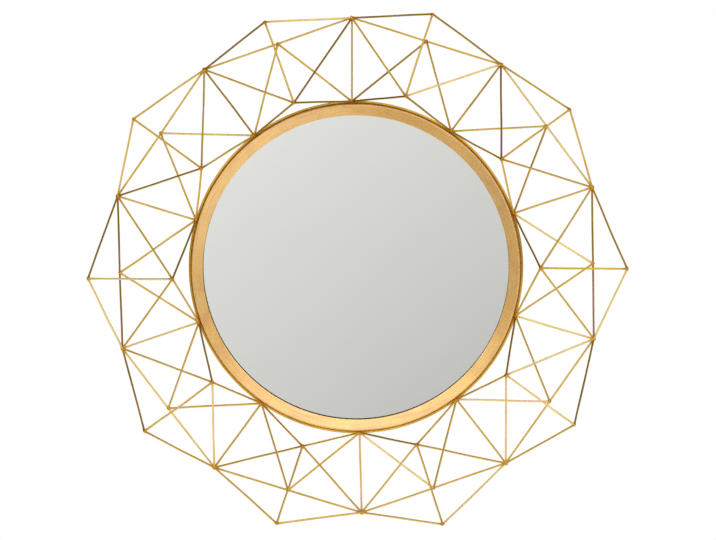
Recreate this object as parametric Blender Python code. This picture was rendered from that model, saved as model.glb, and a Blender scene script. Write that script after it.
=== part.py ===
"""Round wall mirror in a gilt rim, ringed by a star of welded gold wire.

The rear of the backing board lies in the plane y = 0, against the wall. The origin is the centre of that
face, the mirror looks towards -Y and +Z is up. A depth is a distance forwards from the wall. The wire star
repeats ten times round the rim, and one sector of it, centred on the top, is modelled and turned.
"""

from math import acos, asin, cos, hypot, pi, radians, sin, sqrt

import bmesh
import bpy
from mathutils import Matrix, Vector

# Driving dimensions, in metres.
SECTORS = 10
GAP = 0.0003  # left between two pieces that touch

# The star's joints: how far out from the rim each lies, and its depth.
TIP_REACH = 0.153
TIP_DEPTH = 0.060
VALLEY_REACH = 0.1275
VALLEY_DEPTH = 0.0042
PEAK_REACH = 0.026
PEAK_DEPTH = 0.070

WIRE_DIAMETER = 0.003
WELD_DIAMETER = 0.0076  # where seven wires meet at a valley, and on the hoop
PEAK_WELD_DIAMETER = 0.005
WIRE_END_SHARE = 0.6  # a wire's end in a weld is drawn down to this share of its thickness

# The rim: a turned ring with a rebate behind, which holds the glass and the board.
SIGHT_RADIUS = 0.2301
FACE_WIDTH = 0.0169
FACE_RISE = 0.0034  # how much further forward the face's outer edge is than its inner one
LIP_THICKNESS = 0.004
REBATE_WIDTH = 0.010
EDGE_ROUND = 0.0011
RIM_SET_BACK = 0.0005  # the rim stops this far short of the wall
FLANGE_THICKNESS = 0.0012  # of the flange at the rim's rear edge, which closes the groove inside the hoop

# The hoop of thicker wire round the rim, which carries the star.
HOOP_WIRE_DIAMETER = 0.0035
HOOP_GROOVE = 0.00145
HOOP_DEPTH = 0.0095

GLASS_THICKNESS = 0.003
GLASS_BEVEL = 0.0008
BOARD_THICKNESS = 0.006
BOARD_BEVEL = 0.0006

# Two keyhole plates let into the board's rear.
HANGER_SPREAD = 0.260
HANGER_RISE = 0.120
HANGER_WIDTH = 0.018
HANGER_HEIGHT = 0.042
HANGER_THICKNESS = 0.0015
HANGER_SET_BACK = 0.0003
HANGER_CORNER = 0.003
KEYHOLE_DIAMETER = 0.010
KEYHOLE_SLOT_WIDTH = 0.005
KEYHOLE_TRAVEL = 0.012
KEYHOLE_SIDE_ROOM = 0.001  # the hollow behind the keyhole is wider than the hole by this on each side
KEYHOLE_HOLLOW_CORNER = 0.003
BOARD_LEFT_BEHIND_KEYHOLE = 0.0008

# How finely the solids are faceted, and how they are worked out.
RIM_FACETS = 8 * SECTORS
WIRE_FACETS = 6
HOOP_FACETS = 6
WELD_FACETS = 8
HOLE_FACETS = 24
CORNER_FACETS = 3
SMOOTH_UNDER = 40  # degrees between two faces that are shaded as one round surface
RIM_SMOOTH_UNDER = 25
PARALLEL = 1e-6  # two directions whose cross product is shorter than this are one line
FULL_MITRE = 0.1  # a sharper bend than this is blunted
FIT_STEP = 0.0001  # a wire's end is moved out from its weld in steps of this size

# Sizes worked out from those above.
SECTOR_ANGLE = 2 * pi / SECTORS
HALF_SECTOR = SECTOR_ANGLE / 2
WIRE_RADIUS = WIRE_DIAMETER / 2
WELD_RADIUS = WELD_DIAMETER / 2
PEAK_WELD_RADIUS = PEAK_WELD_DIAMETER / 2
HOOP_WIRE_RADIUS = HOOP_WIRE_DIAMETER / 2
RIM_RADIUS = SIGHT_RADIUS + FACE_WIDTH
TIP_RADIUS = RIM_RADIUS + TIP_REACH
VALLEY_RADIUS = RIM_RADIUS + VALLEY_REACH
PEAK_RADIUS = RIM_RADIUS + PEAK_REACH
REBATE_RADIUS = SIGHT_RADIUS + REBATE_WIDTH
HOOP_RADIUS = RIM_RADIUS + HOOP_GROOVE + HOOP_WIRE_RADIUS
ROOT_RADIUS = RIM_RADIUS + GAP + WELD_RADIUS  # the hoop's welds bridge the groove to the rim
MIDDLE_RADIUS = VALLEY_RADIUS * cos(HALF_SECTOR)  # halfway along the bar between two valleys
MIDDLE_DEPTH = VALLEY_DEPTH + WIRE_DIAMETER + GAP  # of the wire that is welded onto that bar
GLASS_BACK = BOARD_THICKNESS + GAP
GLASS_FRONT = GLASS_BACK + GLASS_THICKNESS
LIP_BACK = GLASS_FRONT + GAP
LIP_FRONT = LIP_BACK + LIP_THICKNESS
FACE_FRONT = LIP_FRONT + FACE_RISE


def finish(name, colour, roughness, metallic):
    """A material with the piece's own colour, roughness and metallic value."""
    material = bpy.data.materials.new(name)
    material.use_nodes = True
    shader = material.node_tree.nodes["Principled BSDF"]
    shader.inputs["Base Color"].default_value = (*colour, 1)
    shader.inputs["Roughness"].default_value = roughness
    shader.inputs["Metallic"].default_value = metallic
    return material


def place(name, mesh, material, turn=0.0, at=(0, 0, 0)):
    """One piece: its mesh, turned clockwise about the mirror's axis as seen from the front."""
    if not mesh.materials:
        mesh.materials.append(material)
    piece = bpy.data.objects.new(name, mesh)
    piece.location = at
    piece.rotation_euler = (0, turn, 0)
    bpy.context.scene.collection.objects.link(piece)
    return piece


def mesh_of(name, bm, smooth_under=SMOOTH_UNDER):
    """The finished mesh of a bmesh, with its faces pointing out and its round stretches smooth."""
    bmesh.ops.recalc_face_normals(bm, faces=bm.faces)
    mesh = bpy.data.meshes.new(name)
    bm.to_mesh(mesh)
    bm.free()
    mesh.shade_smooth()
    mesh.set_sharp_from_angle(angle=radians(smooth_under))
    return mesh


def combined(name, base, others, operation):
    """The mesh of a Boolean of one mesh with several others, worked out by Blender's modifier."""
    body = bpy.data.objects.new(name, base)
    bpy.context.scene.collection.objects.link(body)
    tools = bpy.data.collections.new(name + " tools")
    bpy.context.scene.collection.children.link(tools)
    for other in others:
        tools.objects.link(bpy.data.objects.new(other.name, other))
    boolean = body.modifiers.new("combine", "BOOLEAN")
    boolean.operation = operation
    boolean.operand_type = "COLLECTION"
    boolean.collection = tools
    bpy.context.view_layer.update()
    evaluated = body.evaluated_get(bpy.context.evaluated_depsgraph_get())
    mesh = bpy.data.meshes.new_from_object(evaluated)
    mesh.name = name
    for tool in list(tools.objects):
        bpy.data.objects.remove(tool)
    bpy.data.collections.remove(tools)
    bpy.data.objects.remove(body)
    mesh.shade_smooth()
    mesh.set_sharp_from_angle(angle=radians(SMOOTH_UNDER))
    return mesh


def star_point(radius, clockwise, depth):
    """A point by its radius, its angle clockwise from the top and its depth."""
    return Vector((radius * sin(clockwise), -depth, radius * cos(clockwise)))


def root(clockwise):
    return star_point(ROOT_RADIUS, clockwise, HOOP_DEPTH)


def valley(clockwise):
    return star_point(VALLEY_RADIUS, clockwise, VALLEY_DEPTH)


def middle(clockwise):
    return star_point(MIDDLE_RADIUS, clockwise, MIDDLE_DEPTH)


def tip(clockwise):
    return star_point(TIP_RADIUS, clockwise, TIP_DEPTH)


def peak(clockwise):
    return star_point(PEAK_RADIUS, clockwise, PEAK_DEPTH)


def from_hoop(point):
    """The distance of a point from the hoop's centre line."""
    return hypot(hypot(point.x, point.z) - HOOP_RADIUS, -point.y - HOOP_DEPTH)


def drawn_end(joint, far, neighbours, at_hoop):
    """Where a wire starts beside a weld, and where it has its full thickness: two (point, radius) pairs.

    Near the weld the wire is only as thick as the wires beside it, and the hoop, leave room for.
    """
    along = (far - joint).normalized()
    others = [(other - joint).normalized() for other in neighbours if (other - far).length > GAP]
    closest = min(acos(max(-1.0, min(1.0, along.dot(other)))) for other in others)

    def room(distance):
        radius = distance * sin(closest / 2) - GAP / 2
        if at_hoop:
            radius = min(radius, from_hoop(joint + along * distance) - HOOP_WIRE_RADIUS - GAP)
        return radius

    start = WELD_RADIUS + GAP
    while room(start) < WIRE_RADIUS * WIRE_END_SHARE:
        start += FIT_STEP
    full = start + FIT_STEP
    while room(full) < WIRE_RADIUS:
        full += FIT_STEP
    end_radius = min(room(start), WIRE_RADIUS)
    return (joint + along * start, end_radius), (joint + along * full, WIRE_RADIUS)


def at_valley(clockwise, far):
    """The end of a wire at a valley's weld."""
    side = HALF_SECTOR
    neighbours = [root(clockwise)]
    for way in (-1, 1):
        neighbours += [valley(clockwise + way * 2 * side), tip(clockwise + way * side)]
        neighbours.append(peak(clockwise + way * side))
    return drawn_end(valley(clockwise), far, neighbours, at_hoop=False)


def at_root(clockwise, far):
    """The end of a wire at one of the hoop's welds."""
    neighbours = [valley(clockwise)]
    for way in (-1, 1):
        neighbours += [middle(clockwise + way * HALF_SECTOR), peak(clockwise + way * HALF_SECTOR)]
    return drawn_end(root(clockwise), far, neighbours, at_hoop=True)


def wire(name, stations, facets=WIRE_FACETS):
    """A closed wire along (point, radius) stations, mitred where it bends."""
    points = [point for point, _ in stations]
    steps = [(b - a).normalized() for a, b in zip(points, points[1:])]
    normal = steps[0].cross(steps[-1])
    if normal.length < PARALLEL:
        normal = steps[0].cross(Vector((0, 1, 0)))
    normal.normalize()
    bm = bmesh.new()
    rings = []
    for i, (point, radius) in enumerate(stations):
        before = steps[max(i - 1, 0)]
        after = steps[min(i, len(steps) - 1)]
        side = (before.cross(normal) + after.cross(normal)).normalized()
        stretch = radius / max(side.dot(before.cross(normal)), FULL_MITRE)
        ring = []
        for k in range(facets):
            angle = 2 * pi * (k + 0.5) / facets
            ring.append(bm.verts.new(point + normal * radius * cos(angle) + side * stretch * sin(angle)))
        rings.append(ring)
    for ring, following in zip(rings, rings[1:]):
        for k in range(facets):
            j = (k + 1) % facets
            bm.faces.new((ring[k], ring[j], following[j], following[k]))
    bm.faces.new(rings[0])
    bm.faces.new(rings[-1])
    return mesh_of(name, bm)


def weld(name, centre, radius, facets=WELD_FACETS):
    """A round weld bead."""
    bm = bmesh.new()
    bmesh.ops.create_uvsphere(
        bm, u_segments=facets, v_segments=facets // 2 + 1, radius=radius, matrix=Matrix.Translation(centre)
    )
    return mesh_of(name, bm)


def turned(name, profile, facets=RIM_FACETS):
    """A closed (radius, depth) outline turned about the mirror's axis."""
    bm = bmesh.new()
    rings = []
    for k in range(facets):
        clockwise = 2 * pi * k / facets
        rings.append([bm.verts.new(star_point(r, clockwise, depth)) for r, depth in profile])
    for k, ring in enumerate(rings):
        following = rings[(k + 1) % facets]
        for i in range(len(profile)):
            j = (i + 1) % len(profile)
            bm.faces.new((ring[i], ring[j], following[j], following[i]))
    return mesh_of(name, bm, smooth_under=RIM_SMOOTH_UNDER)


def disc(name, radius, back, front, back_bevel, front_bevel, facets=RIM_FACETS):
    """A round plate between two depths, with its edges eased."""
    outline = [(radius - back_bevel, back), (radius, back + back_bevel)]
    outline += [(radius, front - front_bevel), (radius - front_bevel, front)]
    bm = bmesh.new()
    rings = []
    for r, depth in outline:
        rings.append([bm.verts.new(star_point(r, 2 * pi * k / facets, depth)) for k in range(facets)])
    for ring, following in zip(rings, rings[1:]):
        for k in range(facets):
            j = (k + 1) % facets
            bm.faces.new((ring[k], ring[j], following[j], following[k]))
    bm.faces.new(rings[0])
    bm.faces.new(rings[-1])
    return mesh_of(name, bm)


def block(name, low, high, corner=0.0):
    """A box between two corners, its four upright edges rounded off by corner."""
    bm = bmesh.new()
    bmesh.ops.create_cube(bm, size=1)
    low = Vector(low)
    high = Vector(high)
    for vert in bm.verts:
        vert.co = (low + high) / 2 + Vector([c * s for c, s in zip(vert.co, high - low)])
    if corner:
        edges = [e for e in bm.edges if abs(e.verts[0].co.y - e.verts[1].co.y) > GAP]
        bmesh.ops.bevel(bm, geom=edges, offset=corner, segments=CORNER_FACETS, profile=0.5, affect="EDGES")
    return mesh_of(name, bm)


def round_cut(name, centre, radius, depth_from, depth_to, facets=HOLE_FACETS):
    """A cylinder across the board, for cutting a round hole."""
    bm = bmesh.new()
    turn = Matrix.Rotation(pi / 2, 4, "X")
    at = Matrix.Translation((centre[0], -(depth_from + depth_to) / 2, centre[1]))
    size = {"radius1": radius, "radius2": radius, "depth": depth_to - depth_from}
    bmesh.ops.create_cone(bm, cap_ends=True, segments=facets, matrix=at @ turn, **size)
    return mesh_of(name, bm)


def rim_mesh():
    """The rim: a rebate, a flange behind the hoop, a rounded edge and a face that slopes in to the glass."""
    slope = sqrt(FACE_WIDTH**2 + FACE_RISE**2)
    inward = (-FACE_WIDTH / slope, -FACE_RISE / slope)
    flange_front = RIM_SET_BACK + FLANGE_THICKNESS
    profile = [(REBATE_RADIUS, RIM_SET_BACK), (HOOP_RADIUS, RIM_SET_BACK), (HOOP_RADIUS, flange_front)]
    profile += [(RIM_RADIUS, flange_front), (RIM_RADIUS, FACE_FRONT - EDGE_ROUND)]
    inset = EDGE_ROUND * (1 - sqrt(0.5))
    profile.append((RIM_RADIUS - inset, FACE_FRONT - inset))
    profile.append((RIM_RADIUS + EDGE_ROUND * inward[0], FACE_FRONT + EDGE_ROUND * inward[1]))
    profile += [(SIGHT_RADIUS, LIP_FRONT), (SIGHT_RADIUS, LIP_BACK), (REBATE_RADIUS, LIP_BACK)]
    return turned("frame_rim", profile)


def hoop_mesh():
    """The hoop with a weld at the foot of every spoke."""
    profile = []
    for k in range(HOOP_FACETS):
        angle = 2 * pi * (k + 0.5) / HOOP_FACETS
        across = HOOP_WIRE_RADIUS * cos(angle)
        profile.append((HOOP_RADIUS + across, HOOP_DEPTH + HOOP_WIRE_RADIUS * sin(angle)))
    ring = turned("hoop wire", profile)
    welds = [weld(f"hoop weld {i}", root(i * SECTOR_ANGLE), WELD_RADIUS) for i in range(SECTORS)]
    return combined("lattice_hoop", ring, welds, "UNION")


def spoke_mesh():
    """A straight wire from the hoop out to a valley, with the valley's weld on its end."""
    end = valley(0)
    stations = list(at_root(0, end))
    along = (end - stations[0][0]).normalized()
    neck = asin(WIRE_RADIUS / WELD_RADIUS)
    bands = WELD_FACETS // 2 + 1
    for k in range(bands):
        angle = neck + (pi - neck) * k / bands
        stations.append((end - along * WELD_RADIUS * cos(angle), WELD_RADIUS * sin(angle)))
    return wire("spoke", stations, facets=WELD_FACETS)


def back_bar_mesh():
    """The straight bar between two valleys, close to the wall."""
    left = at_valley(-HALF_SECTOR, valley(HALF_SECTOR))
    right = at_valley(HALF_SECTOR, valley(-HALF_SECTOR))
    return wire("back_bar", [*left, *reversed(right)])


def outer_chevron_mesh():
    """The wire bent over the tip, from valley to valley."""
    left = at_valley(-HALF_SECTOR, tip(0))
    right = at_valley(HALF_SECTOR, tip(0))
    return wire("outer_chevron", [*left, (tip(0), WIRE_RADIUS), *reversed(right)])


def back_chevron_mesh():
    """The wire from hoop to hoop, bent on the front of the back bar's middle."""
    left = at_root(-HALF_SECTOR, middle(0))
    right = at_root(HALF_SECTOR, middle(0))
    return wire("back_chevron", [*left, (middle(0), WIRE_RADIUS), *reversed(right)])


def front_star_mesh():
    """Five wires that meet in a weld at the peak, the part of the star furthest from the wall."""
    legs = []
    for way in (-1, 1):
        side = way * HALF_SECTOR
        legs.append(wire("leg", [*at_root(side, peak(0)), (peak(0), WIRE_RADIUS)]))
        legs.append(wire("leg", [*at_valley(side, peak(0)), (peak(0), WIRE_RADIUS)]))
    inward = (peak(0) - tip(0)).normalized()
    spread = inward.angle(valley(HALF_SECTOR) - tip(0))
    clear = (WIRE_RADIUS + GAP + WIRE_RADIUS * cos(spread)) / sin(spread)
    legs.append(wire("leg", [(tip(0) + inward * clear, WIRE_RADIUS), (peak(0), WIRE_RADIUS)]))
    bead = weld("peak weld", peak(0), PEAK_WELD_RADIUS)
    return combined("front_star", bead, legs, "UNION")


def keyhole_centres():
    """The centres of the two hanger plates, as (x, z)."""
    return [(-HANGER_SPREAD / 2, HANGER_RISE), (HANGER_SPREAD / 2, HANGER_RISE)]


def keyhole_cuts(centre, room, depth_from, depth_to):
    """Cutters for a keyhole: a round hole for the screw's head below, and a slot for its shank above."""
    x, z = centre
    low = z - KEYHOLE_TRAVEL / 2
    high = z + KEYHOLE_TRAVEL / 2
    half_slot = KEYHOLE_SLOT_WIDTH / 2 + room
    cuts = [round_cut("head hole", (x, low), KEYHOLE_DIAMETER / 2 + room, depth_from, depth_to)]
    cuts.append(block("slot", (x - half_slot, -depth_to, low), (x + half_slot, -depth_from, high)))
    cuts.append(round_cut("slot end", (x, high), half_slot, depth_from, depth_to))
    return cuts


def hanger_mesh():
    """A keyhole plate centred on the origin in x and z."""
    low = (-HANGER_WIDTH / 2, -HANGER_SET_BACK - HANGER_THICKNESS, -HANGER_HEIGHT / 2)
    high = (HANGER_WIDTH / 2, -HANGER_SET_BACK, HANGER_HEIGHT / 2)
    plate = block("hanger_plate", low, high, corner=HANGER_CORNER)
    overrun = HANGER_THICKNESS  # how far the cutters run past each face
    front = HANGER_SET_BACK + HANGER_THICKNESS
    cuts = keyhole_cuts((0, 0), 0.0, HANGER_SET_BACK - overrun, front + overrun)
    return combined("hanger_plate", plate, cuts, "DIFFERENCE")


def board_mesh():
    """The backing board, with a recess for each plate and a hollow behind its keyhole."""
    board = disc("board", REBATE_RADIUS - GAP, 0.0, BOARD_THICKNESS, BOARD_BEVEL, BOARD_BEVEL)
    floor = HANGER_SET_BACK + HANGER_THICKNESS + GAP
    hollow = BOARD_THICKNESS - BOARD_LEFT_BEHIND_KEYHOLE
    side = KEYHOLE_DIAMETER / 2 + KEYHOLE_SIDE_ROOM
    reach = KEYHOLE_TRAVEL / 2 + side
    cuts = []
    for x, z in keyhole_centres():
        half = (HANGER_WIDTH / 2 + GAP, HANGER_HEIGHT / 2 + GAP)
        low = (x - half[0], -floor, z - half[1])
        high = (x + half[0], BOARD_THICKNESS, z + half[1])
        cuts.append(block("recess", low, high, corner=HANGER_CORNER))
        low = (x - side, -hollow, z - reach)
        high = (x + side, BOARD_THICKNESS, z + reach)
        cuts.append(block("hollow", low, high, corner=KEYHOLE_HOLLOW_CORNER))
    return combined("backing_board", board, cuts, "DIFFERENCE")


def build():
    for thing in list(bpy.data.objects):
        bpy.data.objects.remove(thing)
    gilt = finish("gilt rim", (0.80, 0.56, 0.25), 0.32, 1.0)
    gold_wire = finish("gold wire", (0.76, 0.52, 0.22), 0.34, 1.0)
    silvered = finish("silvered glass", (0.84, 0.85, 0.84), 0.03, 1.0)
    black = finish("black board", (0.035, 0.033, 0.030), 0.75, 0.0)
    zinc = finish("zinc plate", (0.62, 0.62, 0.60), 0.38, 1.0)

    place("frame_rim", rim_mesh(), gilt)
    place("lattice_hoop", hoop_mesh(), gold_wire)
    glass = disc("mirror_glass", REBATE_RADIUS - GAP, GLASS_BACK, GLASS_FRONT, GLASS_BEVEL, GLASS_BEVEL)
    place("mirror_glass", glass, silvered)
    place("backing_board", board_mesh(), black)
    hanger = hanger_mesh()
    for side, (x, z) in zip(("left", "right"), keyhole_centres()):
        place(f"hanger_plate_{side}", hanger, zinc, at=(x, 0, z))

    kinds = {"spoke": (spoke_mesh(), 0.0)}
    kinds["back_bar"] = (back_bar_mesh(), HALF_SECTOR)
    kinds["outer_chevron"] = (outer_chevron_mesh(), HALF_SECTOR)
    kinds["back_chevron"] = (back_chevron_mesh(), HALF_SECTOR)
    kinds["front_star"] = (front_star_mesh(), HALF_SECTOR)
    for kind, (mesh, first) in kinds.items():
        for i in range(SECTORS):
            place(f"{kind}_{i + 1:02d}", mesh, gold_wire, turn=first + i * SECTOR_ANGLE)


build()
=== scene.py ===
"""The looks of a round wall mirror: gilt rim, plain silvered glass and a star of welded gold wire."""

from math import cos, exp, pi, radians, sin, tau
from random import Random

import bmesh
import bpy
from mathutils import Matrix, Vector, noise


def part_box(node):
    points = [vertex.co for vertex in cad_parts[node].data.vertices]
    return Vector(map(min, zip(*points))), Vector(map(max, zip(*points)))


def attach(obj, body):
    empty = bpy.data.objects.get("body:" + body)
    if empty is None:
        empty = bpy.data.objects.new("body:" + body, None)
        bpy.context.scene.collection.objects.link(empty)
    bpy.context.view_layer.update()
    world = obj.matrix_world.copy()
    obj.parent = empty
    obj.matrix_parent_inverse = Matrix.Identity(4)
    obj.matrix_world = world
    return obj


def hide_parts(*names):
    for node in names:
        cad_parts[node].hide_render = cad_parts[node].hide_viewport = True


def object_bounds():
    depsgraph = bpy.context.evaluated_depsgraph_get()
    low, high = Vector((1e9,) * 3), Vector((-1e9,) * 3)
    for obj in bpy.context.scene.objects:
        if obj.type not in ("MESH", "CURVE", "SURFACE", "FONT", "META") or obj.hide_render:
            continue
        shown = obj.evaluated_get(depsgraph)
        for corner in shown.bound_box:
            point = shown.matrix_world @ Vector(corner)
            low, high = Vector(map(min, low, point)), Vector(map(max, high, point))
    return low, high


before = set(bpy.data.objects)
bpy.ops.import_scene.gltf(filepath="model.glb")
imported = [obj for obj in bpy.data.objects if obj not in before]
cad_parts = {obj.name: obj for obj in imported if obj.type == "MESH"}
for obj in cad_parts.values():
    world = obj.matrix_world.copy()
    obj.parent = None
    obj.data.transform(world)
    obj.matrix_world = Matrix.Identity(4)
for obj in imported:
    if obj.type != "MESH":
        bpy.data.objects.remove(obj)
cad_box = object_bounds()

# The camera: a long lens 5 m off, a little above the mirror and to its right, and not quite level.
CAMERA_DISTANCE = 5.0
CAMERA_RISE = radians(6.5)
CAMERA_RIGHT = radians(1.45)
CAMERA_ROLL = radians(-1.35)
CAMERA_AIM = Vector((0.0030, 0.0, -0.0042))
CAMERA_LENS_MM = 166.7
SENSOR_WIDTH_MM = 36.0
CAMERA_SEES_TO = 50.0

camera = bpy.data.objects.new("camera", bpy.data.cameras.new("camera"))
bpy.context.scene.collection.objects.link(camera)
bpy.context.scene.camera = camera
level_reach = cos(CAMERA_RISE)
back_along = Vector((sin(CAMERA_RIGHT) * level_reach, -cos(CAMERA_RIGHT) * level_reach, sin(CAMERA_RISE)))
camera.location = CAMERA_AIM + back_along * CAMERA_DISTANCE
camera.rotation_mode = "QUATERNION"
upright = (-back_along).to_track_quat("-Z", "Y")
camera.rotation_quaternion = upright @ Matrix.Rotation(CAMERA_ROLL, 4, "Z").to_quaternion()
camera.data.sensor_width = SENSOR_WIDTH_MM
camera.data.lens = CAMERA_LENS_MM
camera.data.clip_end = CAMERA_SEES_TO
bpy.context.scene.view_settings.view_transform = "Standard"

# The studio: white to look at, and lit softly from all round. The glass and the gilding see a grey room,
# palest above and on the left, with soft-edged screens in it, pale and dark.
SCREEN_EDGE = 6  # degrees over which a screen fades out
ROOM_LEAN = (-0.6, 0.8)  # how the room's grey rises, to the right and upwards
ROOM_FADE = (-0.150, -0.010)
ROOM_GREYS = (0.534, 0.886)


def link(tree, value, socket):
    """Sets a socket to a plain value, or joins it to another node's output."""
    if isinstance(value, bpy.types.NodeSocket):
        tree.links.new(value, socket)
    else:
        socket.default_value = value


def maths(tree, operation, a, b=0.0):
    """One sum on numbers."""
    node = tree.nodes.new("ShaderNodeMath")
    node.operation = operation
    link(tree, a, node.inputs[0])
    link(tree, b, node.inputs[1])
    return node.outputs[0]


def ranged(tree, value, low, high, to_low, to_high, smooth=True):
    """A value spread from one range onto another, without going past its ends."""
    node = tree.nodes.new("ShaderNodeMapRange")
    node.interpolation_type = "SMOOTHSTEP" if smooth else "LINEAR"
    link(tree, value, node.inputs["Value"])
    for name, amount in zip(("From Min", "From Max", "To Min", "To Max"), (low, high, to_low, to_high)):
        node.inputs[name].default_value = amount
    return node.outputs["Result"]


world = bpy.data.worlds.new("studio")
bpy.context.scene.world = world
world.use_nodes = True
sky = world.node_tree
sky.nodes.clear()
apart = sky.nodes.new("ShaderNodeSeparateXYZ")
link(sky, sky.nodes.new("ShaderNodeTexCoord").outputs["Generated"], apart.inputs[0])
sky_x, sky_y, sky_z = apart.outputs
bearing = maths(sky, "ARCTAN2", sky_x, maths(sky, "MULTIPLY", sky_y, -1.0))
height = maths(sky, "ARCSINE", sky_z)


def between(value, low, high):
    """1 between two angles in degrees, falling to 0 over the soft edge past them."""
    rising = ranged(sky, value, radians(low - SCREEN_EDGE), radians(low), 0.0, 1.0)
    falling = ranged(sky, value, radians(high), radians(high + SCREEN_EDGE), 1.0, 0.0)
    return maths(sky, "MULTIPLY", rising, falling)


def screen(behind, left, right, bottom, top, level):
    """A screen in front of the light behind it, by its bearings right of the camera and its heights."""
    cover = maths(sky, "MULTIPLY", between(bearing, left, right), between(height, bottom, top))
    node = sky.nodes.new("ShaderNodeMix")
    link(sky, cover, node.inputs["Factor"])
    link(sky, behind, node.inputs["A"])
    link(sky, level, node.inputs["B"])
    return node.outputs["Result"]


lean_right, lean_up = ROOM_LEAN
slope = maths(sky, "ADD", maths(sky, "MULTIPLY", sky_x, lean_right), maths(sky, "MULTIPLY", sky_z, lean_up))
grey = ranged(sky, slope, *ROOM_FADE, *ROOM_GREYS, smooth=False)
grey = screen(grey, -200, 200, -90, -20, 0.92)  # the white table below
grey = screen(grey, -200, 200, 34, 90, 0.26)  # the dark ceiling
grey = screen(grey, 0, 110, 52, 90, 0.80)  # a paler part of it on the right
grey = screen(grey, 26, 64, 30, 48, 1.35)  # a lamp high on the right
grey = screen(grey, -110, -64, -4, 50, 0.08)  # black screens on both sides
grey = screen(grey, 64, 110, -4, 50, 0.08)
grey = screen(grey, 112, 200, -60, 60, 0.95)  # the white wall behind the mirror
grey = screen(grey, -200, -112, -60, 60, 0.95)
grey = screen(grey, -60, -22, -24, 4, 0.34)  # a dark screen on the left
grey = screen(grey, -27, -5, -50, -25, 0.30)  # another, lower down
grey = screen(grey, 8, 60, -50, -12, 1.00)  # a white card low on the right
grey = screen(grey, 32, 62, -1, 7, 0.08)  # a black strip above the card
grey = screen(grey, -60, 60, 12, 27, 1.58)  # the long soft box above the camera
studio_light = sky.nodes.new("ShaderNodeBackground")
link(sky, grey, studio_light.inputs["Color"])
plain_white = sky.nodes.new("ShaderNodeBackground")
plain_white.inputs["Color"].default_value = (1.0, 1.0, 1.0, 1.0)
seen = sky.nodes.new("ShaderNodeMixShader")
link(sky, sky.nodes.new("ShaderNodeLightPath").outputs["Is Camera Ray"], seen.inputs["Fac"])
link(sky, studio_light.outputs[0], seen.inputs[1])
link(sky, plain_white.outputs[0], seen.inputs[2])
link(sky, seen.outputs[0], sky.nodes.new("ShaderNodeOutputWorld").inputs["Surface"])

# The floor: a plain pale sheet, far enough below the mirror to be out of the camera's view. The large soft
# lamp over it lights everything evenly and adds no reflection.
FLOOR_DROP = 0.55
FLOOR_SIDE = 3.9
FLOOR_REACH = 1.9  # how far the floor comes forward from the mirror
LAMP_SIDE = 5.0
LAMP_WATTS = 75.0
LAMP_PLACE = (0.0, -1.5, 1.9)
SHARP_FROM = radians(38)  # edges bent more than this stay sharp


def new_piece(name, bm, materials, smooth=True):
    """A mesh object of a bmesh, with its materials."""
    bmesh.ops.recalc_face_normals(bm, faces=bm.faces)
    mesh = bpy.data.meshes.new(name)
    bm.to_mesh(mesh)
    bm.free()
    for material in materials:
        mesh.materials.append(material)
    if smooth:
        mesh.shade_smooth()
        mesh.set_sharp_from_angle(angle=SHARP_FROM)
    piece = bpy.data.objects.new(name, mesh)
    bpy.context.scene.collection.objects.link(piece)
    return piece


def shaded(name, roughness=0.5, metallic=0.0):
    """A material with its Principled shader: (material, node tree, shader)."""
    material = bpy.data.materials.new(name)
    material.use_nodes = True
    shader = material.node_tree.nodes["Principled BSDF"]
    shader.inputs["Roughness"].default_value = roughness
    shader.inputs["Metallic"].default_value = metallic
    return material, material.node_tree, shader


lamp = bpy.data.objects.new("table light", bpy.data.lights.new("table light", "AREA"))
bpy.context.scene.collection.objects.link(lamp)
lamp.data.size = LAMP_SIDE
lamp.data.energy = LAMP_WATTS
lamp.location = LAMP_PLACE
lamp.visible_glossy = False
lamp.visible_camera = False

floor_paint, tree, shader = shaded("floor paint", roughness=0.85)
shader.inputs["Base Color"].default_value = (0.86, 0.86, 0.85, 1)
bm = bmesh.new()
bmesh.ops.create_grid(bm, x_segments=1, y_segments=1, size=FLOOR_SIDE / 2)
floor = new_piece("floor", bm, [floor_paint], smooth=False)
floor.location = (0.0, FLOOR_SIDE / 2 - FLOOR_REACH, cad_box[0][2] - FLOOR_DROP)

# The mirror glass: 3 mm float glass, silvered behind, held in the rim's rebate. It is clean and flat, with
# only the faintest drift in its polish, and its edge is hidden under the rim's lip.
glass_low, glass_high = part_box("mirror_glass")
GLASS_RADIUS = glass_high.x
GLASS_EASE = 0.0008  # the ground edge
GLASS_FACETS = 240


def star_point(radius, clockwise, depth):
    """A point by its radius, its angle clockwise from the top and its distance forwards from the wall."""
    return Vector((radius * sin(clockwise), -depth, radius * cos(clockwise)))


def turned(bm, outline, facets, closed=True, material_of=None):
    """A (radius, depth) outline turned about the mirror's axis."""
    rings = []
    for k in range(facets):
        rings.append([bm.verts.new(star_point(r, tau * k / facets, depth)) for r, depth in outline])
    last = len(outline) if closed else len(outline) - 1
    for k, ring in enumerate(rings):
        following = rings[(k + 1) % facets]
        for i in range(last):
            j = (i + 1) % len(outline)
            face = bm.faces.new((ring[i], ring[j], following[j], following[i]))
            face.material_index = material_of(i) if material_of else 0
    return rings


def noise_of(tree, vector, scale, detail=3.0, roughness=0.5):
    """Soft noise over a surface, from 0 to 1."""
    node = tree.nodes.new("ShaderNodeTexNoise")
    link(tree, vector, node.inputs["Vector"])
    node.inputs["Scale"].default_value = scale
    node.inputs["Detail"].default_value = detail
    node.inputs["Roughness"].default_value = roughness
    return node.outputs["Fac"]


def place_of(tree):
    """The place on the mirror, in metres."""
    return tree.nodes.new("ShaderNodeTexCoord").outputs["Object"]


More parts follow.
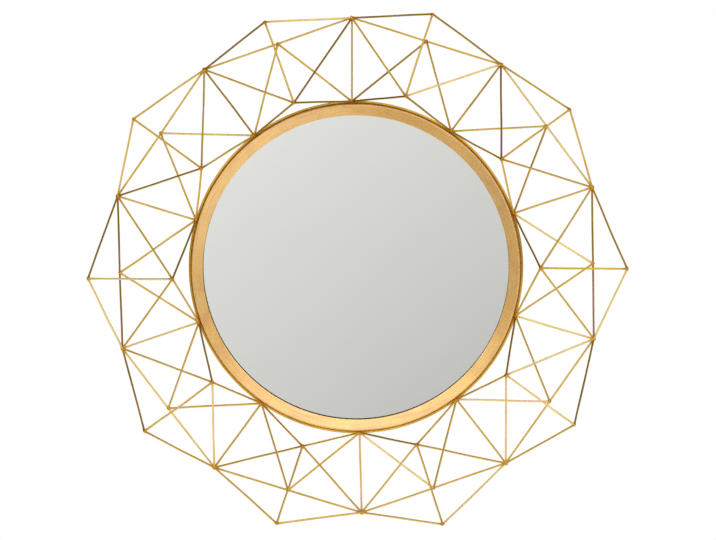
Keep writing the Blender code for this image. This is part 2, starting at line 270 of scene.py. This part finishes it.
def ramp(tree, value, stops):
    """Colours along a value."""
    node = tree.nodes.new("ShaderNodeValToRGB")
    link(tree, value, node.inputs["Fac"])
    while len(node.color_ramp.elements) < len(stops):
        node.color_ramp.elements.new(0.5)
    for element, (at, colour) in zip(node.color_ramp.elements, stops):
        element.position = at
        element.color = (*colour, 1.0)
    return node.outputs["Color"]


clear_glass, tree, shader = shaded("clear glass", roughness=0.0)
shader.inputs["Transmission Weight"].default_value = 1.0
shader.inputs["IOR"].default_value = 1.5
tint = noise_of(tree, place_of(tree), 4.0, detail=1.0)
tint = ramp(tree, tint, [(0.3, (0.985, 0.992, 0.986)), (0.7, (0.992, 0.996, 0.992))])
link(tree, tint, shader.inputs["Base Color"])

silvering, tree, shader = shaded("silvering", roughness=0.01, metallic=1.0)
drift = noise_of(tree, place_of(tree), 7.0, detail=2.0)
silver = ramp(tree, drift, [(0.3, (0.890, 0.894, 0.848)), (0.7, (0.902, 0.904, 0.858))])
link(tree, silver, shader.inputs["Base Color"])
polish = noise_of(tree, place_of(tree), 60.0)
link(tree, ranged(tree, polish, 0.35, 0.75, 0.006, 0.02), shader.inputs["Roughness"])

bm = bmesh.new()
glass_back, glass_front = -glass_high.y, -glass_low.y
glass_outline = [
    (GLASS_RADIUS - GLASS_EASE, glass_back),
    (GLASS_RADIUS, glass_back + GLASS_EASE),
    (GLASS_RADIUS, glass_front - GLASS_EASE),
    (GLASS_RADIUS - GLASS_EASE, glass_front),
]
rings = turned(bm, glass_outline, GLASS_FACETS, closed=False)
silvered_back = bm.faces.new([ring[0] for ring in rings])
silvered_back.material_index = 1
bm.faces.new([ring[-1] for ring in rings])
glass = new_piece("silvered_glass_disc", bm, [clear_glass, silvering])
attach(glass, "root")
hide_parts("mirror_glass")

# The rim: one turned ring whose broad face slopes in to the glass, covered in gold leaf and rubbed along its
# length. Its outer edge is rounded over. The narrow wall beside the glass is painted near-black as painted
# shade for the shadowed gap at the glass. A thin flange behind it closes the groove inside the hoop, its
# gold darkened as painted shade for the shade deep in the groove.
rim_low, rim_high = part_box("frame_rim")
FLANGE_RADIUS = rim_high.x
FLANGE_THICKNESS = 0.0012
RIM_RADIUS = 0.2470
SIGHT_RADIUS = 0.2301
FACE_RISE = 0.0034
GLASS_PLAY = 0.0003
REBATE_RADIUS = GLASS_RADIUS + GLASS_PLAY
LIP_BACK = glass_front + GLASS_PLAY
EDGE_ROUND = 0.0012
EDGE_STEPS = 6
SIGHT_ROUND = 0.0005
SIGHT_STEPS = 3
FACE_STEPS = 10
RIM_FACETS = 360
LEAF, SHADE_WALL, GROOVE = 0, 1, 2  # the rim's materials, in their order on the mesh
GROOVE_STRETCHES = (1, 2)  # the flange's edge and front, counted along the outline
RUBBING_SHOWS, LAPS_SHOW = 0.85, 0.8
LEAF_RELIEF = 0.00035


def rounded(corner, before, after, radius, steps):
    """Points of an arc that rounds off a corner of an outline."""
    corner, before, after = (Vector((*point, 0.0)) for point in (corner, before, after))
    a = (before - corner).normalized()
    b = (after - corner).normalized()
    half = a.angle(b) / 2
    reach = radius * cos(half) / sin(half)
    centre = corner + (a + b).normalized() * radius / sin(half)
    start = (corner + a * reach - centre).normalized()
    end = (corner + b * reach - centre).normalized()
    points = []
    for k in range(steps + 1):
        point = centre + start.slerp(end, k / steps).normalized() * radius
        points.append((point.x, point.y))
    return points


rim_front = -rim_low.y
rim_rear = -rim_high.y
flange_front = rim_rear + FLANGE_THICKNESS
outer_corner = (RIM_RADIUS, rim_front)
sight_corner = (SIGHT_RADIUS, rim_front - FACE_RISE)
rim_outline = [(REBATE_RADIUS, rim_rear), (FLANGE_RADIUS, rim_rear)]
rim_outline += [(FLANGE_RADIUS, flange_front), (RIM_RADIUS, flange_front)]
rim_outline += rounded(outer_corner, (RIM_RADIUS, rim_rear), sight_corner, EDGE_ROUND, EDGE_STEPS)
face_from, face_to = Vector((*rim_outline[-1], 0.0)), Vector((*sight_corner, 0.0))
for k in range(1, FACE_STEPS):
    point = face_from.lerp(face_to, k / FACE_STEPS)
    rim_outline.append((point.x, point.y))
rim_outline += rounded(sight_corner, outer_corner, (SIGHT_RADIUS, LIP_BACK), SIGHT_ROUND, SIGHT_STEPS)
wall_from = len(rim_outline) - 1
rim_outline += [(SIGHT_RADIUS, LIP_BACK), (REBATE_RADIUS, LIP_BACK)]


def round_the_rim(tree, along, across):
    """Coordinates that run round the rim, stretched along it: for streaks left by rubbing it."""
    apart = tree.nodes.new("ShaderNodeSeparateXYZ")
    link(tree, place_of(tree), apart.inputs[0])
    x, y, z = apart.outputs
    squares = maths(tree, "ADD", maths(tree, "MULTIPLY", x, x), maths(tree, "MULTIPLY", z, z))
    far = maths(tree, "SQRT", squares)
    together = tree.nodes.new("ShaderNodeCombineXYZ")
    link(tree, maths(tree, "MULTIPLY", maths(tree, "DIVIDE", x, far), along), together.inputs[0])
    link(tree, maths(tree, "MULTIPLY", maths(tree, "DIVIDE", z, far), along), together.inputs[1])
    link(tree, maths(tree, "MULTIPLY", maths(tree, "ADD", far, y), across), together.inputs[2])
    return together.outputs[0]


def mixed(tree, factor, first, second, blend="MIX"):
    """Two colours mixed."""
    node = tree.nodes.new("ShaderNodeMix")
    node.data_type = "RGBA"
    node.blend_type = blend
    link(tree, factor, node.inputs[0])
    link(tree, first, node.inputs[6])
    link(tree, second, node.inputs[7])
    return node.outputs[2]


def bump(tree, relief, distance):
    """A surface relief of a height field, in metres."""
    node = tree.nodes.new("ShaderNodeBump")
    node.inputs["Distance"].default_value = distance
    node.inputs["Strength"].default_value = 1.0
    link(tree, relief, node.inputs["Height"])
    return node.outputs["Normal"]


gold_leaf, tree, shader = shaded("gold leaf", roughness=0.3, metallic=1.0)
streaks = noise_of(tree, round_the_rim(tree, 5.0, 420.0), 1.0, detail=4.0, roughness=0.6)
patches = noise_of(tree, place_of(tree), 38.0, detail=5.0, roughness=0.62)
sheets = noise_of(tree, round_the_rim(tree, 3.2, 22.0), 1.0, detail=1.0)
leaf = ramp(tree, patches, [
    (0.30, (0.92, 0.460, 0.020)),
    (0.46, (1.00, 0.515, 0.026)),
    (0.60, (1.00, 0.540, 0.045)),
    (0.78, (1.00, 0.610, 0.130)),
])
rubbed = ramp(tree, streaks, [
    (0.25, (0.70, 0.65, 0.60)),
    (0.50, (0.94, 0.93, 0.91)),
    (0.75, (1.0, 1.0, 1.0)),
])
laps = ramp(tree, sheets, [
    (0.40, (1.0, 1.0, 1.0)),
    (0.43, (0.88, 0.84, 0.74)),
    (0.56, (0.97, 0.95, 0.93)),
    (0.60, (1.0, 1.0, 1.0)),
])
rubbed_leaf = mixed(tree, RUBBING_SHOWS, leaf, rubbed, "MULTIPLY")
link(tree, mixed(tree, LAPS_SHOW, rubbed_leaf, laps, "MULTIPLY"), shader.inputs["Base Color"])
link(tree, ranged(tree, streaks, 0.3, 0.7, 0.38, 0.24), shader.inputs["Roughness"])
grain = maths(tree, "ADD", maths(tree, "MULTIPLY", streaks, 0.7), maths(tree, "MULTIPLY", patches, 0.5))
link(tree, bump(tree, grain, LEAF_RELIEF), shader.inputs["Normal"])
shader.inputs["Coat Weight"].default_value = 1.0
shader.inputs["Coat IOR"].default_value = 2.6
shader.inputs["Coat Roughness"].default_value = 0.2

# The wall beside the glass: painted near-black as painted shade for the shadowed gap between the rim's lip
# and the glass, with a little noise in it and a weak reflection.
painted_shade_wall, tree, shader = shaded("dark edge beside the glass", roughness=0.7)
wall_shade_noise = noise_of(tree, place_of(tree), 90.0)
wall_shade_colour = ramp(tree, wall_shade_noise, [(0.35, (0.012, 0.008, 0.004)), (0.7, (0.045, 0.028, 0.012))])
link(tree, wall_shade_colour, shader.inputs["Base Color"])
shader.inputs["Specular IOR Level"].default_value = 0.15

# The flange in the groove: gold darkened as painted shade, for the shade that falls deep between the rim and
# the hoop. The noise only varies it.
groove_painted_shade, tree, shader = shaded("gold darkened as painted shade in the groove", roughness=0.55, metallic=0.8)
groove_noise = noise_of(tree, place_of(tree), 120.0)
groove_shade_colour = ramp(tree, groove_noise, [(0.35, (0.36, 0.170, 0.030)), (0.7, (0.62, 0.320, 0.070))])
link(tree, groove_shade_colour, shader.inputs["Base Color"])
link(tree, bump(tree, groove_noise, 0.0001), shader.inputs["Normal"])


def rim_material(stretch):
    """Which material a stretch of the rim's outline has."""
    if stretch in GROOVE_STRETCHES:
        return GROOVE
    return SHADE_WALL if stretch in (wall_from, wall_from + 1) else LEAF


bm = bmesh.new()
turned(bm, rim_outline, RIM_FACETS, material_of=rim_material)
rim = new_piece("gilt_rim", bm, [gold_leaf, painted_shade_wall, groove_painted_shade])
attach(rim, "root")
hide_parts("frame_rim")

# The backing board: a round of fibreboard, painted matt black, flush with the rear of the rim. It keeps its
# own shape from the frame, with the recesses of the hanger plates, and only gets its painted finish.
board_paint, tree, shader = shaded("matt black board paint", roughness=0.75)
fibres = noise_of(tree, place_of(tree), 900.0, detail=4.0)
clouds = noise_of(tree, place_of(tree), 14.0, detail=4.0)
black = ramp(tree, clouds, [(0.3, (0.022, 0.021, 0.020)), (0.7, (0.046, 0.043, 0.039))])
link(tree, black, shader.inputs["Base Color"])
link(tree, ranged(tree, clouds, 0.3, 0.7, 0.66, 0.84), shader.inputs["Roughness"])
link(tree, bump(tree, fibres, 0.00015), shader.inputs["Normal"])
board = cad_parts["backing_board"]
board.data.materials.clear()
board.data.materials.append(board_paint)

# The hanger plates: two stamped steel keyhole plates, zinc plated, let into the board. The mirror hangs on
# two wall screws, whose heads go in at the round holes. Each plate is held by two small screws.
PLATE_SCREW_RADIUS = 0.0027
PLATE_SCREW_OFFSET = 0.0165
PLATE_SCREW_HEIGHT = 0.0009
PLATE_SCREW_SUNK = 0.0007
PLATE_SCREW_FACETS = 24
# the domed head and the hole for the driver, as shares of the radius and the height
PLATE_SCREW_OUTLINE = ((1.0, 0.0), (0.97, 0.35), (0.80, 0.75), (0.5, 0.95), (0.32, 1.0), (0.30, 0.35))

zinc, tree, shader = shaded("zinc plating", roughness=0.38, metallic=1.0)
spangle = noise_of(tree, place_of(tree), 240.0, detail=3.0)
plating = ramp(tree, spangle, [(0.3, (0.50, 0.50, 0.49)), (0.7, (0.70, 0.70, 0.68))])
link(tree, plating, shader.inputs["Base Color"])
link(tree, ranged(tree, spangle, 0.3, 0.7, 0.30, 0.46), shader.inputs["Roughness"])
link(tree, bump(tree, spangle, 0.00006), shader.inputs["Normal"])
for side in ("left", "right"):
    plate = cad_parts[f"hanger_plate_{side}"]
    plate.data.materials.clear()
    plate.data.materials.append(zinc)
    low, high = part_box(f"hanger_plate_{side}")
    for end in (-1, 1):
        centre = (low + high) / 2 + Vector((0, 0, end * PLATE_SCREW_OFFSET))
        seat = Vector((centre.x, high.y - PLATE_SCREW_SUNK, centre.z))
        bm = bmesh.new()
        rings = []
        for r, y in PLATE_SCREW_OUTLINE:
            ring = []
            for k in range(PLATE_SCREW_FACETS):
                angle = tau * k / PLATE_SCREW_FACETS
                out = Vector((r * cos(angle), 0, r * sin(angle))) * PLATE_SCREW_RADIUS
                ring.append(bm.verts.new(seat + out + Vector((0, y * PLATE_SCREW_HEIGHT, 0))))
            rings.append(ring)
        for ring, following in zip(rings, rings[1:]):
            for k in range(PLATE_SCREW_FACETS):
                j = (k + 1) % PLATE_SCREW_FACETS
                bm.faces.new((ring[k], ring[j], following[j], following[k]))
        bm.faces.new(rings[0])
        bm.faces.new(rings[-1])
        screw = new_piece(f"plate_screw_{side}_{'lower' if end < 0 else 'upper'}", bm, [zinc])
        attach(screw, "root")

# The hoop: one ring of thicker gold wire, a groove's width off the rim. Ten welds, one at the foot of each
# spoke, bridge the groove and tie the whole star to the rim.
SECTORS = 10
SECTOR = tau / SECTORS
HOOP_GROOVE = 0.00145
HOOP_WIRE_RADIUS = 0.00175
HOOP_RADIUS = RIM_RADIUS + HOOP_GROOVE + HOOP_WIRE_RADIUS
HOOP_DEPTH = 0.0095
HOOP_FACETS = 360
HOOP_SIDES = 12
WELD_RADIUS = 0.0038
WELD_OFF_RIM = 0.0003
ROOT_RADIUS = RIM_RADIUS + WELD_OFF_RIM + WELD_RADIUS
BEAD_SHARE = 0.86  # a bead fills this much of its weld, and its lumps the rest
BEAD_RADIUS = WELD_RADIUS * BEAD_SHARE
BEAD_LUMPS = 0.25  # how high the lumps of a weld stand, as a share of its radius
FINE_LUMPS = 0.3  # the fine lumps on top of the coarse ones, as a share of them
COARSE_PITCH, FINE_PITCH = 1.7, 4.5  # how close the lumps stand
BEADS_APART = 40  # how widely the beads are spread over the noise, so that no two are alike
SCORCH_REACH = 0.006  # the finish is warmer and darker this far from a weld
SCORCH_SHOWS = 0.72
PLAIN_GOLD = 0.5  # the tone of most of the wire
chance = Random(11)

gold_wire, tree, shader = shaded("gold wire", roughness=0.3, metallic=1.0)
mottle = noise_of(tree, place_of(tree), 26.0, detail=4.0, roughness=0.6)
pitting = noise_of(tree, place_of(tree), 900.0, detail=2.0)
carried = {}
for kind in ("scorch", "tone"):
    node = tree.nodes.new("ShaderNodeAttribute")
    node.attribute_name = kind
    carried[kind] = node.outputs["Fac"]
shade = maths(tree, "ADD", carried["tone"], ranged(tree, mottle, 0.3, 0.7, -0.09, 0.09))
gold = ramp(tree, shade, [
    (0.0, (0.33, 0.180, 0.010)),
    (0.5, (0.74, 0.475, 0.060)),
    (1.0, (0.95, 0.735, 0.290)),
])
scorched = maths(tree, "MULTIPLY", carried["scorch"], SCORCH_SHOWS)
link(tree, mixed(tree, scorched, gold, (0.55, 0.215, 0.012, 1.0)), shader.inputs["Base Color"])
link(tree, ranged(tree, mottle, 0.3, 0.7, 0.30, 0.17), shader.inputs["Roughness"])
link(tree, bump(tree, maths(tree, "ADD", pitting, mottle), 0.00010), shader.inputs["Normal"])


def wire_mesh():
    """An empty mesh whose points carry how near a weld they are, and the tone of their wire."""
    bm = bmesh.new()
    bm.verts.layers.float.new("scorch")
    bm.verts.layers.float.new("tone")
    return bm


def anywhere(spread):
    """A place of its own in the noise for each weld or wire."""
    return Vector((chance.random(), chance.random(), chance.random())) * spread


def weld_bead(bm, centre, radius, stretch=(1.0, 1.0, 1.0)):
    """A nugget of weld metal, with uneven lumps; every bead is a little different."""
    scorch_layer = bm.verts.layers.float["scorch"]
    tone_layer = bm.verts.layers.float["tone"]
    made = bmesh.ops.create_icosphere(bm, subdivisions=3, radius=1.0)
    own = anywhere(BEADS_APART)
    for vert in made["verts"]:
        way = vert.co.normalized()
        lump = noise.noise(way * COARSE_PITCH + own) + FINE_LUMPS * noise.noise(way * FINE_PITCH + own)
        vert.co = centre + Vector([c * s for c, s in zip(way, stretch)]) * radius * (1.0 + BEAD_LUMPS * lump)
        vert[scorch_layer] = 1.0
        vert[tone_layer] = PLAIN_GOLD


def gold_piece(name, bm, node):
    """Finishes a piece of the star and sets it in place of its node of the frame."""
    piece = new_piece(name, bm, [gold_wire])
    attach(piece, "root")
    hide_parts(node)


def joint(radius, place, depth, bent=(0, 0)):
    """A joint of the star, place sectors clockwise from the top, and bent off true by mm right and up."""
    right, up = bent
    return star_point(radius, place * SECTOR, depth) + Vector((right, 0, up)) / 1000


def root(i):
    """The foot of a spoke, between the rim and the hoop."""
    return joint(ROOT_RADIUS, i, HOOP_DEPTH)


bm = wire_mesh()
scorch_layer = bm.verts.layers.float["scorch"]
tone_layer = bm.verts.layers.float["tone"]
hoop_outline = []
for k in range(HOOP_SIDES):
    out = HOOP_WIRE_RADIUS * cos(tau * k / HOOP_SIDES)
    forwards = HOOP_WIRE_RADIUS * sin(tau * k / HOOP_SIDES)
    hoop_outline.append((HOOP_RADIUS + out, HOOP_DEPTH + forwards))
rings = turned(bm, hoop_outline, HOOP_FACETS)
for k, ring in enumerate(rings):
    turn = tau * k / HOOP_FACETS
    nearest = abs((turn + SECTOR / 2) % SECTOR - SECTOR / 2) * HOOP_RADIUS
    for vert in ring:
        vert[scorch_layer] = exp(-nearest / SCORCH_REACH)
        vert[tone_layer] = PLAIN_GOLD
for i in range(SECTORS):
    weld_bead(bm, root(i), BEAD_RADIUS, stretch=(1.0, 0.9, 1.0))
gold_piece("hoop_ring", bm, "lattice_hoop")

# The spokes: ten straight wires from the hoop to the valleys, where the rim of the star dips back to the
# wall. Each carries the valley's weld, a rough nugget in which seven wires meet.
WIRE_RADIUS = 0.0015
WIRE_SIDES = 12
WIRE_STEP = 0.004
WIRE_BOW = 0.00088  # how far a wire may wander off straight
WIRE_BENDS = 1.6  # how often it bends back and forth on its way
WIRE_WAVER = 0.035  # how far its thickness may vary, as a share
WAVERS_PER_METRE = 70
WIRES_APART = 60  # how widely the wires are spread over the noise
AXES_APART = 9.0  # and the three directions in which each of them bends
FLARE = 0.55  # how much thicker it is where it runs into a weld, as a share
FLARE_REACH = 0.0024
BROWNED, PALE = 0.12, 0.85  # the tones of the browner and the paler wires
TONE_SPREAD = 0.1
ASKEW = Vector((0.13, 1.0, 0.21))  # a direction that no wire runs in
VALLEY_RADIUS = 0.3745
VALLEY_DEPTH = 0.0042
BENT_VALLEYS = {0: (3, 1), 1: (4, -2), 2: (1, -2), 6: (-2, 2)}  # mm right and up, by sector
SCORCHED_SPOKE = 5  # the one at the bottom went orange all along it


def tone_of(leg, browned, pale):
    """The tone of a wire: browner on some wires and paler on others, as listed wire by wire."""
    if leg in browned:
        return BROWNED
    return PALE if leg in pale else PLAIN_GOLD


def wire_run(bm, start, end, tone, scorch=0.0):
    """A round wire between two joints, not quite even or straight, flared into the welds at its ends."""
    scorch_layer = bm.verts.layers.float["scorch"]
    tone_layer = bm.verts.layers.float["tone"]
    tone += chance.uniform(-TONE_SPREAD, TONE_SPREAD)
    own = anywhere(WIRES_APART)
    length = (end - start).length
    count = max(2, int(length / WIRE_STEP))
    path = []
    for k in range(count + 1):
        t = k / count
        places = [own + Vector((axis * AXES_APART, 0, t * WIRE_BENDS)) for axis in range(3)]
        sway = Vector([noise.noise(place) for place in places])
        path.append(start.lerp(end, t) + sway * sin(pi * t) * WIRE_BOW)
    along = 0.0
    ring_before = None
    side = (path[1] - path[0]).cross(ASKEW).normalized()
    for i, point in enumerate(path):
        if i:
            along += (point - path[i - 1]).length
        ahead = path[min(i + 1, len(path) - 1)] - path[max(i - 1, 0)]
        ahead.normalize()
        side = (side - ahead * side.dot(ahead)).normalized()
        up = ahead.cross(side)
        near = min(along, length - along)
        waver = noise.noise(own + Vector((0, 0, along * WAVERS_PER_METRE)))
        radius = WIRE_RADIUS * (1.0 + WIRE_WAVER * waver)
        radius *= 1.0 + FLARE * exp(-near / FLARE_REACH)
        ring = []
        for k in range(WIRE_SIDES):
            angle = tau * k / WIRE_SIDES
            vert = bm.verts.new(point + (side * cos(angle) + up * sin(angle)) * radius)
            vert[scorch_layer] = max(scorch, exp(-near / SCORCH_REACH))
            vert[tone_layer] = tone
            ring.append(vert)
        if ring_before:
            for k in range(WIRE_SIDES):
                j = (k + 1) % WIRE_SIDES
                bm.faces.new((ring_before[k], ring_before[j], ring[j], ring[k]))
        else:
            bm.faces.new(ring)
        ring_before = ring
    bm.faces.new(ring_before)


def valley(i):
    """The weld at a spoke's outer end."""
    return joint(VALLEY_RADIUS, i, VALLEY_DEPTH, BENT_VALLEYS.get(i % SECTORS, (0, 0)))


for i in range(SECTORS):
    bm = wire_mesh()
    tone = tone_of(i, browned=(1, 9), pale=(0, 3, 5, 7))
    wire_run(bm, root(i), valley(i), tone, scorch=0.15 if i == SCORCHED_SPOKE else 0.0)
    weld_bead(bm, valley(i), BEAD_RADIUS, stretch=(1.0, 0.82, 1.0))
    gold_piece(f"spoke_wire_{i + 1:02d}", bm, f"spoke_{i + 1:02d}")

# The back bars: ten straight wires from valley to valley, close to the wall. Each is one length of wire that
# the back chevron is welded onto halfway.
for i in range(SECTORS):
    bm = wire_mesh()
    wire_run(bm, valley(i), valley(i + 1), tone_of(i, browned=(2, 7), pale=(1, 6)))
    gold_piece(f"back_bar_wire_{i + 1:02d}", bm, f"back_bar_{i + 1:02d}")

# The back chevrons: two wires from the hoop out to the front of each back bar's middle, held there side by
# side with a small weld.
MIDDLE_GAP = 0.0003
MIDDLE_DEPTH = VALLEY_DEPTH + 2 * WIRE_RADIUS + MIDDLE_GAP
MIDDLE_WELD = 0.0023
BROWNED_BACKS = {(0, 0), (1, 1)}
PALE_BACKS = {(2, 0), (3, 1), (4, 1), (8, 1)}


def middle(i):
    """The place in front of a back bar's middle."""
    halfway = (valley(i) + valley(i + 1)) / 2
    return Vector((halfway.x, -MIDDLE_DEPTH, halfway.z))


for i in range(SECTORS):
    bm = wire_mesh()
    for leg in (0, 1):
        wire_run(bm, root(i + leg), middle(i), tone_of((i, leg), BROWNED_BACKS, PALE_BACKS))
    weld_bead(bm, middle(i) + Vector((0, WIRE_RADIUS, 0)), MIDDLE_WELD, stretch=(1.15, 1.0, 1.15))
    gold_piece(f"back_chevron_wires_{i + 1:02d}", bm, f"back_chevron_{i + 1:02d}")

# The front stars: five wires that rise from two feet on the hoop, two valleys and the tip to a weld at the
# peak, the point of each sector that stands furthest off the wall.
PEAK_RADIUS = 0.273
PEAK_DEPTH = 0.070
TIP_RADIUS = 0.400
TIP_DEPTH = 0.060
PEAK_WELD = 0.0026
BENT_PEAKS = {
    0: (-3, 1), 1: (0, 4), 2: (3, 1), 3: (1, 2), 4: (2, -1),
    6: (4, 0), 7: (1, -4), 8: (-3, 0), 9: (0, -5),
}
BENT_TIPS = {2: (5, -4), 3: (-1, -2), 4: (-1, -4), 5: (-3, 2), 6: (2, 1), 7: (1, -2), 9: (-1, -6)}
BROWNED_LEGS = {
    (0, 0), (0, 1), (1, 2), (2, 0), (3, 0), (4, 1),
    (6, 1), (7, 1), (8, 2), (9, 0), (9, 1), (9, 3),
}
PALE_LEGS = {(0, 3), (3, 2), (3, 3), (3, 4), (6, 2), (7, 4)}


def peak(i):
    """The weld where the five wires meet."""
    return joint(PEAK_RADIUS, i + 0.5, PEAK_DEPTH, BENT_PEAKS.get(i, (0, 0)))


def tip(i):
    """The outermost point of a sector."""
    return joint(TIP_RADIUS, i + 0.5, TIP_DEPTH, BENT_TIPS.get(i, (0, 0)))


for i in range(SECTORS):
    bm = wire_mesh()
    for leg, foot in enumerate((root(i), root(i + 1), valley(i), valley(i + 1), tip(i))):
        wire_run(bm, foot, peak(i), tone_of((i, leg), BROWNED_LEGS, PALE_LEGS))
    weld_bead(bm, peak(i), PEAK_WELD)
    gold_piece(f"front_star_wires_{i + 1:02d}", bm, f"front_star_{i + 1:02d}")

# The outer chevrons: two wires from the valleys at the wall up to each tip in front, which draw the outline
# of the star.
TIP_WELD = 0.0021
BROWNED_EDGES = {(0, 0), (0, 1), (2, 0), (3, 0), (6, 1), (7, 1), (9, 0)}
PALE_EDGES = {(4, 0), (2, 1), (7, 0), (9, 1)}
for i in range(SECTORS):
    bm = wire_mesh()
    for leg in (0, 1):
        wire_run(bm, valley(i + leg), tip(i), tone_of((i, leg), BROWNED_EDGES, PALE_EDGES))
    weld_bead(bm, tip(i), TIP_WELD)
    gold_piece(f"outer_chevron_wires_{i + 1:02d}", bm, f"outer_chevron_{i + 1:02d}")
